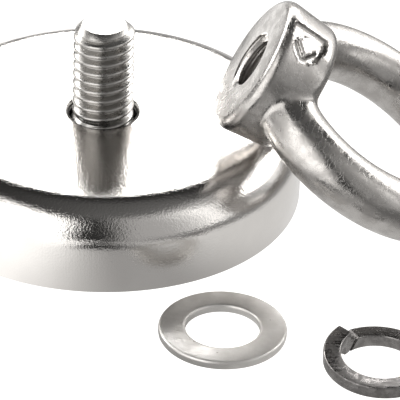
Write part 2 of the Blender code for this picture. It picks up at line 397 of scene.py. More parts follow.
def build_rings() -> bpy.types.NodeTree:
    """Marks that run round the local Z axis, as a lathe or a die leaves them."""
    group, graph, given, result = effect(
        "round_marks",
        {"Vector": (VECTOR, None), "Mark Width": (FLOAT, 0.15), "Raggedness": (FLOAT, 0.3)},
        {"Marks": FLOAT, "Radius": FLOAT, "Streaks": FLOAT},
    )
    split = graph.node("ShaderNodeSeparateXYZ", {"Vector": given.outputs["Vector"]})
    x, y, z = (split.outputs[axis] for axis in "XYZ")
    radius = graph.math("SQRT", graph.math("ADD", graph.math("MULTIPLY", x, x), graph.math("MULTIPLY", y, y)))
    turn = graph.math("ARCTAN2", y, x)
    scale = graph.math("DIVIDE", 1.0 / MM, given.outputs["Mark Width"])
    drift = graph.math("MULTIPLY", turn, given.outputs["Raggedness"])
    lanes = graph.node(
        "ShaderNodeCombineXYZ",
        {"X": graph.math("MULTIPLY", radius, scale), "Y": drift, "Z": graph.math("MULTIPLY", z, scale)},
    )
    graph.feed(result.inputs["Marks"], graph.noise(lanes.outputs[0], 1.0, 2.0, 0.6))
    graph.feed(result.inputs["Radius"], radius)
    comb = graph.node("ShaderNodeCombineXYZ", {"X": graph.math("MULTIPLY", turn, 55.0)})
    graph.feed(result.inputs["Streaks"], graph.noise(comb.outputs[0], 1.0, 4.0, 0.7))
    return group


def build_scratches() -> bpy.types.NodeTree:
    """Thin straight scratches in two crossing directions, as a mask."""
    group, graph, given, result = effect(
        "scratches",
        {"Vector": (VECTOR, None), "Spacing": (FLOAT, 1.2), "Amount": (FLOAT, 0.3)},
        {"Mask": FLOAT},
    )
    scale = graph.math("DIVIDE", 1.0 / MM, given.outputs["Spacing"])
    found = None
    for turn in (0.6, 2.1):
        turned = graph.node(
            "ShaderNodeMapping",
            {"Vector": given.outputs["Vector"], "Rotation": (0.3, 0.2, turn), "Scale": (0.06, 1.0, 1.0)},
        )
        lines = graph.noise(turned.outputs[0], 1.0, 2.0)
        graph.feed(lines.node.inputs["Scale"], scale)
        thin = graph.remap(graph.math("ABSOLUTE", graph.math("SUBTRACT", lines, 0.5)), 0.0, 0.012, 1.0, 0.0)
        found = thin if found is None else graph.math("MAXIMUM", found, thin)
    graph.feed(result.inputs["Mask"], graph.math("MULTIPLY", found, given.outputs["Amount"]))
    return group


def build_pits() -> bpy.types.NodeTree:
    """Small scattered pits and specks, as a casting or a tumbled stamping has them."""
    group, graph, given, result = effect(
        "pits", {"Vector": (VECTOR, None), "Spacing": (FLOAT, 1.0), "Cover": (FLOAT, 0.3)}, {"Mask": FLOAT}
    )
    scale = graph.math("DIVIDE", 1.0 / MM, given.outputs["Spacing"])
    cells = graph.node("ShaderNodeTexVoronoi", {"Vector": given.outputs["Vector"], "Scale": scale})
    chosen = graph.node("ShaderNodeSeparateColor", {"Color": cells.outputs["Color"]})
    lucky = graph.math("LESS_THAN", chosen.outputs[0], given.outputs["Cover"])
    size = graph.math("MULTIPLY", chosen.outputs[1], 0.22)
    spot = graph.math("LESS_THAN", cells.outputs["Distance"], size)
    graph.feed(result.inputs["Mask"], graph.math("MULTIPLY", lucky, spot))
    return group


@dataclass(frozen=True)
class Effects:
    """The shader node groups that the finishes share, built once."""

    grain: bpy.types.NodeTree
    rings: bpy.types.NodeTree
    scratches: bpy.types.NodeTree
    pits: bpy.types.NodeTree

    @classmethod
    def build(cls) -> "Effects":
        """Build every shared effect."""
        return cls(build_grain(), build_rings(), build_scratches(), build_pits())


@dataclass(frozen=True)
class Metal:
    """A metal finish.

    Attributes:
        name: The material's name.
        colour: Linear base colour.
        dark: Colour of stains, pits and patches.
        rough: Lowest and highest roughness.
        grain: Size of the fine grain in millimetres and its height in micrometres.
        patch: Size of the slow patches in millimetres and how strongly they colour.
        marks: Width in millimetres, raggedness and height in micrometres of round marks.
        scratch: Spacing in millimetres and amount of scratches.
        pit: Spacing in millimetres, cover and depth in micrometres of pits.
        lip: Radii in millimetres between which a painted shade round a hole fades out: a dark ring standing
            in for the shadow and dark reflection of the gap.
        streak: Height in micrometres of fine upright streaks on a drawn wall.
    """

    name: str
    colour: tuple[float, float, float]
    dark: tuple[float, float, float]
    rough: tuple[float, float]
    grain: tuple[float, float]
    patch: tuple[float, float] = (8.0, 0.2)
    marks: tuple[float, float, float] = (0.2, 0.3, 0.0)
    scratch: tuple[float, float] = (1.5, 0.2)
    pit: tuple[float, float, float] = (1.0, 0.0, 0.0)
    lip: tuple[float, float] = (0.0, 0.0)
    streak: float = 0.0

    def make(self, effects: Effects, place: Matrix) -> bpy.types.Material:
        """Build the material.

        Args:
            effects: The shared node groups.
            place: The piece's own frame, so that round marks run about its axis.

        Returns:
            The material.
        """
        made = bpy.data.materials.new(self.name)
        made.use_nodes = True
        shader = made.node_tree.nodes["Principled BSDF"]
        graph = Graph(made.node_tree)
        where = graph.node("ShaderNodeTexCoord").outputs["Object"]
        local = graph.node(
            "ShaderNodeMapping",
            {"Vector": where, "Location": place.to_translation(), "Rotation": place.to_euler()},
            vector_type="TEXTURE",
        ).outputs[0]
        grain = graph.node("ShaderNodeGroup", node_tree=effects.grain)
        graph.feed(grain.inputs["Vector"], local)
        graph.feed(grain.inputs["Grain Size"], self.grain[0])
        graph.feed(grain.inputs["Patch Size"], self.patch[0])
        rings = graph.node("ShaderNodeGroup", node_tree=effects.rings)
        graph.feed(rings.inputs["Vector"], local)
        graph.feed(rings.inputs["Mark Width"], self.marks[0])
        graph.feed(rings.inputs["Raggedness"], self.marks[1])
        scratches = graph.node("ShaderNodeGroup", node_tree=effects.scratches)
        graph.feed(scratches.inputs["Vector"], local)
        graph.feed(scratches.inputs["Spacing"], self.scratch[0])
        graph.feed(scratches.inputs["Amount"], self.scratch[1])
        pits = graph.node("ShaderNodeGroup", node_tree=effects.pits)
        graph.feed(pits.inputs["Vector"], local)
        graph.feed(pits.inputs["Spacing"], self.pit[0])
        graph.feed(pits.inputs["Cover"], self.pit[1])
        patches, mask = grain.outputs["Patches"], pits.outputs["Mask"]
        stain = graph.math("MULTIPLY", patches, self.patch[1])
        stain = graph.math("MAXIMUM", stain, graph.math("MULTIPLY", mask, 0.8))
        base = graph.blend(stain, (*self.colour, 1.0), (*self.dark, 1.0))
        # Painted shade: the base colour turns near-black in a ring round the hole, for the shadow and dark
        # reflection of the gap.
        if self.lip[1] > 0.0:
            lip_shade = graph.remap(rings.outputs["Radius"], self.lip[0] * MM, self.lip[1] * MM, 1.0, 0.0)
            base = graph.blend(lip_shade, base, LIP_PAINTED_SHADE)
        graph.feed(shader.inputs["Base Color"], base)
        graph.feed(shader.inputs["Metallic"], 1.0)
        worn = graph.math("ADD", patches, scratches.outputs["Mask"], clamp=True)
        graph.feed(shader.inputs["Roughness"], graph.remap(worn, 0.0, 1.0, *self.rough))
        height = graph.math("MULTIPLY", grain.outputs["Height"], self.grain[1])
        height = graph.math("ADD", height, graph.math("MULTIPLY", rings.outputs["Marks"], self.marks[2]))
        height = graph.math("SUBTRACT", height, graph.math("MULTIPLY", mask, self.pit[2]))
        cuts = graph.math("MULTIPLY", scratches.outputs["Mask"], self.grain[1])
        height = graph.math("SUBTRACT", height, cuts)
        wall = graph.remap(rings.outputs["Radius"], *WALL_STREAKS, 0.0, self.streak)
        height = graph.math("ADD", height, graph.math("MULTIPLY", rings.outputs["Streaks"], wall))
        bump = graph.node("ShaderNodeBump", {"Height": height, "Strength": 1.0, "Distance": 1e-6})
        graph.feed(shader.inputs["Normal"], bump.outputs["Normal"])
        return made


@dataclass(frozen=True)
class Polymer:
    """A dull black resin or plastic finish.

    Attributes:
        name: The material's name.
        colour: Linear base colour.
        rough: Lowest and highest roughness.
        grain: Size of the grain in millimetres and its height in micrometres.
        pit: Spacing in millimetres, cover and depth in micrometres of trapped bubbles.
    """

    name: str
    colour: tuple[float, float, float]
    rough: tuple[float, float]
    grain: tuple[float, float]
    pit: tuple[float, float, float]

    def make(self, effects: Effects, place: Matrix) -> bpy.types.Material:
        """Build the material in the piece's own frame."""
        made = bpy.data.materials.new(self.name)
        made.use_nodes = True
        shader = made.node_tree.nodes["Principled BSDF"]
        graph = Graph(made.node_tree)
        where = graph.node("ShaderNodeTexCoord").outputs["Object"]
        local = graph.node(
            "ShaderNodeMapping", {"Vector": where, "Location": place.to_translation()}, vector_type="TEXTURE"
        ).outputs[0]
        grain = graph.node("ShaderNodeGroup", node_tree=effects.grain)
        graph.feed(grain.inputs["Vector"], local)
        graph.feed(grain.inputs["Grain Size"], self.grain[0])
        pits = graph.node("ShaderNodeGroup", node_tree=effects.pits)
        graph.feed(pits.inputs["Vector"], local)
        graph.feed(pits.inputs["Spacing"], self.pit[0])
        graph.feed(pits.inputs["Cover"], self.pit[1])
        patches = grain.outputs["Patches"]
        lighter = tuple(1.8 * channel for channel in self.colour)
        graph.feed(shader.inputs["Base Color"], graph.blend(patches, (*self.colour, 1.0), (*lighter, 1.0)))
        graph.feed(shader.inputs["Roughness"], graph.remap(patches, 0.0, 1.0, *self.rough))
        height = graph.math("MULTIPLY", grain.outputs["Height"], self.grain[1])
        height = graph.math("SUBTRACT", height, graph.math("MULTIPLY", pits.outputs["Mask"], self.pit[2]))
        bump = graph.node("ShaderNodeBump", {"Height": height, "Strength": 1.0, "Distance": 1e-6})
        graph.feed(shader.inputs["Normal"], bump.outputs["Normal"])
        return made


# The plate's lip setting paints a dark ring of shade round the stud's hole.
NICKEL_PLATE = Metal(
    "bright_nickel_plate", (0.74, 0.72, 0.70), (0.62, 0.60, 0.58), (0.03, 0.07), (0.34, 36.0),
    patch=(9.0, 0.3), scratch=(3.0, 0.1), lip=(5.6, 6.3), streak=25.0,
)
MAGNET_NICKEL = Metal(
    "satin_nickel_magnet", (0.62, 0.60, 0.57), (0.40, 0.37, 0.34), (0.18, 0.38), (0.25, 2.0),
    patch=(5.0, 0.4), scratch=(1.2, 0.5), pit=(1.6, 0.05, 8.0),
)
STUD_STEEL = Metal(
    "rolled_stud_steel", (0.44, 0.43, 0.415), (0.25, 0.24, 0.23), (0.18, 0.34), (0.22, 5.0),
    patch=(2.5, 0.3), scratch=(0.8, 0.5), pit=(0.7, 0.06, 6.0),
)
TUMBLED_STEEL = Metal(
    "tumbled_washer_steel", (0.70, 0.685, 0.665), (0.36, 0.335, 0.31), (0.36, 0.50), (0.32, 12.0),
    patch=(3.0, 0.25), marks=(0.5, 0.8, 1.0), scratch=(0.9, 0.5), pit=(0.7, 0.04, 8.0),
)
SPRING_STEEL = Metal(
    "rough_spring_steel", (0.26, 0.25, 0.245), (0.08, 0.076, 0.073), (0.20, 0.42), (0.3, 16.0),
    patch=(1.2, 0.5), marks=(0.12, 1.5, 16.0), scratch=(0.6, 0.6), pit=(0.5, 0.18, 16.0),
)
CAST_STEEL = Metal(
    "satin_cast_steel", (0.50, 0.484, 0.468), (0.22, 0.205, 0.195), (0.19, 0.33), (0.5, 16.0),
    patch=(2.4, 0.35), scratch=(1.4, 0.4), pit=(0.8, 0.14, 16.0),
)
POTTING_RESIN = Polymer(
    "black_potting_resin", (0.018, 0.018, 0.020), (0.25, 0.45), (1.5, 20.0), (1.4, 0.12, 60.0)
)
BUSH_NYLON = Polymer("black_nylon", (0.030, 0.030, 0.034), (0.4, 0.55), (0.3, 6.0), (2.0, 0.02, 10.0))


def dress(piece: bpy.types.Object, made: bpy.types.Material) -> None:
    """Give a piece its one material; clearing the slots also puts every face on slot 0."""
    piece.data.materials.clear()
    piece.data.materials.append(made)


def hand_over(piece: bpy.types.Object, node: str, body: str) -> None:
    """Put a piece on the body it rides on and hide the CAD node it stands for."""
    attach(piece, body)
    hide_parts(node)
    LOG.info("%s: %d faces, on %s", piece.name, len(piece.data.polygons), body)


# ---------------------------------------------------------------- the pot and what is in it


@dataclass
class PotMagnet:
    """The nickel-plated cup, its ring magnet, the potting and the centre bush."""

    effects: Effects
    shoulder: float = 6.2 * MM
    wall: float = 3.5 * MM
    plate: float = 4.5 * MM
    hole: float = 5.2125 * MM
    lip: float = 0.75 * MM
    seat_depth: float = 3.7 * MM
    rim_edge: float = 0.4 * MM
    steps: int = 256

    def __post_init__(self) -> None:
        """Read the cup's place and size from the frame."""
        low, high = (Vector(corner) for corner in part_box("pot_cup"))
        self.axis = Vector(((low.x + high.x) / 2, (low.y + high.y) / 2, 0.0))
        self.radius = (high.x - low.x) / 2
        self.height = high.z
        self.place = Matrix.Translation(self.axis)

    def cup(self) -> bpy.types.Object:
        """Model the cup from a bar: round shoulder, bored cavity, countersunk hole."""
        bpy.ops.mesh.primitive_cylinder_add(
            vertices=self.steps, radius=self.radius, depth=self.height, location=(0, 0, self.height / 2)
        )
        cup = named("bright_pot_cup")
        bpy.ops.object.transform_apply(location=True, rotation=False, scale=False)
        begin_edit(cup)
        pick(cup, Part.EDGES, lambda e: is_level_circle(e) and e.verts[0].co.z > self.height / 2)
        bpy.ops.mesh.bevel(offset=self.shoulder, segments=24, profile=0.5, affect="EDGES")
        flat = self.radius - self.shoulder
        pick(cup, Part.FACES, lambda f: f.normal.z > 0.99 and f.calc_area() > pi * flat * flat * 0.9)
        bpy.ops.mesh.inset(thickness=flat - self.hole)
        pick(cup, Part.FACES, lambda f: f.normal.z < -0.99)
        bpy.ops.mesh.inset(thickness=self.wall)
        roof = self.height - self.plate
        bpy.ops.mesh.extrude_region_move(TRANSFORM_OT_translate={"value": (0, 0, roof)})
        seat = self.hole + self.seat_depth
        bpy.ops.mesh.inset(thickness=self.radius - self.wall - seat)
        bpy.ops.mesh.inset(thickness=self.seat_depth, depth=-self.seat_depth)
        pick(cup, Part.FACES, lambda f: len(f.verts) == self.steps)
        bpy.ops.mesh.bridge_edge_loops()
        pick(cup, Part.EDGES, lambda e: is_level_circle(e) and self.is_lip(e))
        bpy.ops.mesh.bevel(offset=self.lip, segments=8, profile=0.5, affect="EDGES")
        pick(cup, Part.EDGES, lambda e: is_level_circle(e) and e.verts[0].co.z < self.rim_edge / 2)
        bpy.ops.mesh.bevel(offset=self.rim_edge, segments=4, profile=0.5, affect="EDGES")
        end_edit()
        recalculate(cup)
        settle(cup, self.place)
        return cup

    def is_lip(self, edge: bmesh.types.BMEdge) -> bool:
        """Whether an edge is on the mouth of the stud's hole, at the top."""
        point = edge.verts[0].co
        return point.z > self.height - 1e-6 and abs(point.xy.length - self.hole) < self.hole * 0.1

    def turned(self, node: str, name: str, inner: float, edge: float) -> bpy.types.Object:
        """Turn one of the rings inside the cup, to its node's box.

        Args:
            node: The CAD node whose place and height it takes.
            name: The piece's name.
            inner: Bore radius.
            edge: Radius of its edges.

        Returns:
            The ring in its place.
        """
        low, high = (Vector(corner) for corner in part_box(node))
        ring = turned_ring(name, inner, (high.x - low.x) / 2, low.z, high.z, edge)
        settle(ring, self.place)
        return ring

    def build(self) -> None:
        """Model, dress and hand over the four pieces."""
        cup = self.cup()
        dress(cup, NICKEL_PLATE.make(self.effects, self.place))
        hand_over(cup, "pot_cup", "magnet")
        rings = (
            ("ring_magnet", "nickel_ring_magnet", 12.0 * MM, 0.3 * MM, MAGNET_NICKEL, "magnet_nickel"),
            ("outer_potting", "black_potting_ring", 26.0 * MM, 0.1 * MM, POTTING_RESIN, "potting_resin"),
            ("centre_bush", "black_centre_bush", 9.0 * MM, 0.2 * MM, BUSH_NYLON, "bush_plastic"),
        )
        for node, name, inner, edge, finish, slot in rings:
            ring = self.turned(node, name, inner, edge)
            dress(ring, finish.make(self.effects, self.place))
            hand_over(ring, node, "magnet")


@dataclass
class Stud:
    """The countersunk socket screw whose thread stands up out of the pot."""

    effects: Effects
    thread: Thread
    head_radius: float = 8.488 * MM
    head_land: float = 0.4 * MM
    end_chamfer: float = 1.3 * MM
    socket: float = 6.35 * MM
    socket_depth: float = 3.0 * MM

    def __post_init__(self) -> None:
        """Read the screw's place and height from the frame."""
        low, high = (Vector(corner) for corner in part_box("countersunk_screw"))
        self.place = Matrix.Translation(((low.x + high.x) / 2, (low.y + high.y) / 2, 0.0))
        self.bottom, self.top = low.z, high.z
        self.neck = low.z + self.head_land + self.head_radius - self.thread.radius

    def shank(self) -> bpy.types.Object:
        """The threaded shank: a helical rod trimmed to the chamfered end of the screw."""
        crest = self.thread.radius
        low = self.neck - 2 * MM
        rod = self.thread.rod("threaded_stud", low, self.top + 2 * MM, 120)
        outline = [
            (0.0, low + MM), (crest + MM, low + MM), (crest + MM, self.top - self.end_chamfer - MM),
            (crest - self.end_chamfer + 0.06 * MM, self.top - 0.06 * MM),
            (crest - self.end_chamfer - 0.06 * MM, self.top - 0.01 * MM),
            (crest - self.end_chamfer - 0.12 * MM, self.top), (crest - self.end_chamfer - 0.2 * MM, self.top),
            (0.0, self.top),
        ]
        combine(rod, spun("shank_trim", outline, 144), "INTERSECT")
        return rod

    def head(self) -> bpy.types.Object:
        """The countersunk head and the plain neck under the thread."""
        cone = self.bottom + self.head_land
        core = self.thread.radius - 0.4 * self.thread.depth
        outline = [
            (0.0, self.bottom), (self.head_radius - 0.1 * MM, self.bottom),
            (self.head_radius, self.bottom + 0.1 * MM), (self.head_radius, cone),
            (core, cone + self.head_radius - core), (core, self.neck + 0.3 * MM), (0.0, self.neck + 0.3 * MM),
        ]
        return spun("stud_head", outline, 144)

    def build(self) -> None:
        """Join head and shank, sink the key socket, dress the screw and hand it over."""
        screw = self.shank()
        combine(screw, self.head(), "UNION")
        radius = self.socket / sqrt(3)
        depth = self.socket_depth + MM
        middle = self.bottom + self.socket_depth - depth / 2
        bpy.ops.mesh.primitive_cylinder_add(vertices=6, radius=radius, depth=depth, location=(0, 0, middle))
        combine(screw, named("hex_key"), "DIFFERENCE")
        settle(screw, self.place, 32.0)
        dress(screw, STUD_STEEL.make(self.effects, self.place))
        hand_over(screw, "countersunk_screw", "stud")


# ---------------------------------------------------------------- washers


@dataclass
class FlatWasher:
    """The stamped and tumbled flat washer."""

    effects: Effects
    bore: float = 5.5 * MM
    edge: float = 0.45 * MM

    def build(self) -> None:
        """Model the washer in its place, dress it and hand it over."""
        low, high = (Vector(corner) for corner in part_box("flat_washer"))
        place = Matrix.Translation(((low.x + high.x) / 2, (low.y + high.y) / 2, 0.0))
        washer = turned_ring("tumbled_flat_washer", self.bore, (high.x - low.x) / 2, 0.0, high.z, self.edge)
        settle(washer, place, 60.0)
        dress(washer, TUMBLED_STEEL.make(self.effects, place))
        hand_over(washer, "flat_washer", "flat_washer")


@dataclass
class SpringWasher:
    """The split washer, bent from nearly square bar, with one end sprung up."""

    effects: Effects
    bore: float = 5.5 * MM
    thick: float = 2.0 * MM
    edge: float = 0.28 * MM
    turn: float = 137.0
    split: float = 7.0
    flat_share: float = 0.45
    slant: float = 13.6
    steps: int = 160

    def build(self) -> None:
        """Spin the bar's section round, lift the free end, dress it and hand it over."""
        low, high = (Vector(corner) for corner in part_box("spring_washer"))
        outer = (high.y - low.y) / 2
        rise = high.z - self.thick
        middle = (self.bore + outer) / 2
        bpy.ops.mesh.primitive_plane_add(size=1.0)
        washer = named("split_spring_washer")
        washer.dimensions = (outer - self.bore, self.thick, 0.0)
        washer.rotation_euler = (pi / 2, 0.0, 0.0)
        washer.location = (middle, 0.0, self.thick / 2)
        bpy.ops.object.transform_apply(location=True, rotation=True, scale=True)
        begin_edit(washer)
        bpy.ops.mesh.select_all(action="SELECT")
        bpy.ops.mesh.bevel(offset=self.edge, segments=4, profile=0.5, affect="VERTICES")
        bpy.ops.mesh.select_all(action="SELECT")
        span = tau - radians(self.split)
        bpy.ops.mesh.spin(steps=self.steps, angle=-span, center=(0, 0, 0), axis=(0, 0, 1))
        end_edit()
        recalculate(washer)
        for vertex in washer.data.vertices:
            share = (-atan2(vertex.co.y, vertex.co.x) % tau) / span
            share = 0.0 if share > 1.0 + 1e-4 else share
            raised = max(0.0, (min(share, 1.0) - self.flat_share) / (1.0 - self.flat_share))
            twist = radians(self.slant) * (vertex.co.z / self.thick - 0.5)
            vertex.co.xy = vertex.co.xy @ Matrix.Rotation(twist, 2)
            vertex.co.z += rise * raised ** 2
        start = radians(self.turn - self.split / 2)
        place = Matrix.Translation(((low.x + high.x) / 2, (low.y + high.y) / 2, 0.0))
        settle(washer, place @ Matrix.Rotation(start, 4, "Z"), 50.0)
        dress(washer, SPRING_STEEL.make(self.effects, place))
        hand_over(washer, "spring_washer", "spring_washer")


# ---------------------------------------------------------------- the eye nut


@dataclass
class EyeNut:
    """The cast lifting eye nut: a round boss with a threaded hole, blended into a ring."""

    effects: Effects
    thread: Thread
    lean: float = 31.6
    roll: float = 5.35
    boss: float = 11.2 * MM
    boss_end: float = 10.2 * MM
    boss_length: float = 9.8 * MM
    face_edge: float = 2.0 * MM
    ring: float = 16.9 * MM
    bar: float = 4.5 * MM
    face_to_ring: float = 22.3 * MM
    mount_reach: float = 7.8 * MM
    mouth: float = 4.95 * MM
    core: float = 4.05 * MM
    pad_angle: float = -23.0
    pad_height: float = 4.3 * MM
    pad_width: float = 6.0 * MM
    pad_depth: float = 0.85 * MM
    voxel: float = 0.28 * MM

    def __post_init__(self) -> None:
        """Work out the nut's leaning frame from the mount on its face."""
        mounts = {mount["name"]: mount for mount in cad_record()["mounts"]}
        mount = mounts["nut_face"]
        face = Vector(mount["axis"]).normalized()
        side = Vector((0.0, 1.0, 0.0))
        side.rotate(Matrix.Rotation(-radians(self.roll), 3, face))
        back = -face
        centre = Vector(mount["pos_m"]) - side * self.mount_reach
        turn = Matrix((side, back.cross(side), back)).transposed().to_4x4()
        self.place = Matrix.Translation(centre) @ turn

    def boss_blank(self) -> bpy.types.Object:
        """The boss: a bar with a rounded face edge that narrows a little towards the ring."""
        bpy.ops.mesh.primitive_cone_add(
            vertices=128, radius1=self.boss, radius2=self.boss_end, depth=self.boss_length,
            location=(0, 0, self.boss_length / 2),
        )
        boss = named("cast_eye_nut")
        bpy.ops.object.transform_apply(location=True, rotation=False, scale=False)
        begin_edit(boss)
        pick(boss, Part.EDGES, lambda e: is_level_circle(e) and e.verts[0].co.z < self.boss_length / 2)
        bpy.ops.mesh.bevel(offset=self.face_edge, segments=12, profile=0.5, affect="EDGES")
        pick(boss, Part.EDGES, lambda e: is_level_circle(e) and e.verts[0].co.z > self.boss_length * 0.9)
        bpy.ops.mesh.bevel(offset=1.6 * MM, segments=6, profile=0.5, affect="EDGES")
        end_edit()
        return boss

    def ring_blank(self) -> bpy.types.Object:
        """The ring, standing on the thread's axis."""
        bpy.ops.mesh.primitive_torus_add(
            major_radius=self.ring, minor_radius=self.bar, major_segments=128, minor_segments=48,
            location=(0, 0, self.face_to_ring), rotation=(pi / 2, 0, 0),
        )
        ring = named("ring_blank")
        bpy.ops.object.transform_apply(location=True, rotation=True, scale=True)
        return ring

    def badge(
        self, name: str, outline: list[tuple[float, float]], low: float, high: float
    ) -> bpy.types.Object:
        """A prism that stands on the boss at the pad.

        Args:
            name: The tool's name.
            outline: Points round and along the boss, as shares of half the pad's width.
            low: Radius of its inner end.
            high: Radius of its outer end.

        Returns:
            The closed prism.
        """
        half = self.pad_width / 2
        taper = (self.boss - self.boss_end) / self.boss_length
        bpy.ops.mesh.primitive_circle_add(vertices=len(outline), radius=MM, fill_type="NGON")
        prism = named(name)
        for vertex, (across, along) in zip(prism.data.vertices, outline):
            vertex.co = (across * half, low - taper * (self.pad_height + along * half), along * half)
        begin_edit(prism)
        bpy.ops.mesh.select_all(action="SELECT")
        bpy.ops.mesh.extrude_region_move(TRANSFORM_OT_translate={"value": (0, high - low, 0)})
        end_edit()
        recalculate(prism)
        turn = Matrix.Rotation(-radians(self.pad_angle), 4, "Z")
        prism.matrix_world = Matrix.Translation((0, 0, self.pad_height)) @ turn
        take(prism)
        bpy.ops.object.transform_apply(location=True, rotation=True, scale=True)
        return prism

    def blend_weights(self, nut: bpy.types.Object) -> bpy.types.VertexGroup:
        """Weight the region where the ring grows out of the boss, for smoothing it into a fillet."""
        group = nut.vertex_groups.new(name="fillet")
        reach = 3.2 * MM
        for vertex in nut.data.vertices:
            point = vertex.co
            from_axis = point.xy.length
            boss_gap = max(from_axis - self.boss, point.z - self.boss_length, 0.0)
            middle = sqrt(point.x ** 2 + (point.z - self.face_to_ring) ** 2) - self.ring
            ring_gap = max(sqrt(middle ** 2 + point.y ** 2) - self.bar, 0.0)
            weight = 1.0 - (boss_gap + ring_gap) / reach
            if weight > 0.0 and point.z > 1.6 * MM:
                group.add([vertex.index], min(1.0, 1.6 * weight), "REPLACE")
        return group

    def build(self) -> None:
        """Model the nut in its own frame, dress it and hand it over."""
        nut = self.boss_blank()
        combine(nut, self.ring_blank(), "UNION")
        shield = [
            (1, -1), (1, 1), (0.3, 1), (-0.6, 0.75), (-1.1, 0.2), (-1.1, -0.2), (-0.6, -0.75), (0.3, -1),
        ]
        lozenge = [(0.6, 0.0), (0.0, 0.6), (-0.75, 0.0), (0.0, -0.6)]
        floor = self.boss - self.pad_depth
        combine(nut, self.badge("pad_tool", shield, floor - 0.1 * MM, self.boss + 2 * MM), "DIFFERENCE")
        combine(nut, self.badge("lozenge", lozenge, floor - MM, self.boss - 0.25 * MM), "UNION")
        nut.data.remesh_voxel_size = self.voxel
        nut.data.remesh_voxel_adaptivity = 0.0
        take(nut)
        bpy.ops.object.voxel_remesh()
        self.blend_weights(nut)
        apply_modifier(nut, "SMOOTH", factor=0.5, iterations=55, vertex_group="fillet")
        apply_modifier(nut, "SMOOTH", factor=0.5, iterations=5)
        begin_edit(nut)
        bpy.ops.mesh.select_all(action="SELECT")
        bpy.ops.mesh.bisect(
            plane_co=(0, 0, 0.1 * MM), plane_no=(0, 0, 1), use_fill=True, threshold=1e-7, clear_inner=True
        )
        end_edit()
        combine(nut, self.tap(), "DIFFERENCE")
        settle(nut, self.place, 45.0)
        dress(nut, CAST_STEEL.make(self.effects, self.place))
        hand_over(nut, "eye_nut", "eye_nut")

    def tap(self) -> bpy.types.Object:
        """The threaded hole as a solid: thread, and a shallow countersink at each end."""
        tap = self.thread.rod("tap", -2 * MM, self.boss_length + 2 * MM, 72)
        over = 3 * MM
        inner = self.boss_length - (self.mouth - self.core) / 2
        outline = [
            (0.0, -over), (self.mouth + over, -over), (self.mouth - 0.3 * MM, 0.3 * MM),
            (self.core, 0.45 * MM), (self.core, inner), (self.core + over, inner + over), (0.0, inner + over),
        ]
        combine(tap, spun("countersinks", outline, 128), "UNION")
        return tap


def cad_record() -> dict:
    """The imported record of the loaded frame."""
    return FRAME["record"]


# ---------------------------------------------------------------- table, light and camera


@dataclass(frozen=True)
class Screen:
    """A lit screen in the studio, by direction in degrees.

    Attributes:
        left: Its left edge, as a bearing that is 0 away from the camera and 90 to the right.
        right: Its right edge.
        bottom: Its bottom edge above the horizon.
        top: Its top edge above the horizon.
        glow: Its brightness.
        side_blur: Half the width of its soft side edges.
        edge_blur: Half the width of its soft top and bottom edges.
        skew: How far its side edges lean for each degree above 46 degrees.
    """

    left: float
    right: float
    bottom: float
    top: float
    glow: float
    side_blur: float
    edge_blur: float
    skew: float = 0.0


@dataclass(frozen=True)
class Ramp:
    """A level that changes smoothly from one place on the table to another.

    Attributes:
        start: Where it starts to change, from the pot's axis.
        stop: Where it stops changing.
        first: The level up to the start.
        last: The level from the stop on.
    """

    start: float
    stop: float
    first: float
    last: float

    def at(self, graph: Graph, place: bpy.types.NodeSocket) -> bpy.types.NodeSocket:
        """The level at a place."""
        return graph.remap(place, self.start, self.stop, self.first, self.last)


# The table's glow: across the table it falls away from the left, rises again on the right and
# dies out past the washers; one patch in front of them is brighter, and one strip in front of
# the pot is dark.
GLOW_LEFT = Ramp(-20 * MM, 6 * MM, 1.5, 0.42)
GLOW_RIGHT = Ramp(12 * MM, 32 * MM, 0.0, 0.4)
GLOW_END = Ramp(44 * MM, 58 * MM, 1.0, 0.35)
PATCH_ACROSS = Ramp(12 * MM, 26 * MM, 0.0, 1.0)
PATCH_AWAY = Ramp(-62 * MM, -44 * MM, 0.5, 0.0)
STRIP_START = Ramp(-12 * MM, -5 * MM, 0.0, 1.0)
STRIP_AWAY = Ramp(-57 * MM, -43 * MM, 1.0, 0.0)
STRIP_DEPTH = Ramp(5 * MM, 14 * MM, 0.95, 0.5)
SEEN_WHITE = 1.35  # what the camera itself sees of the table and the room


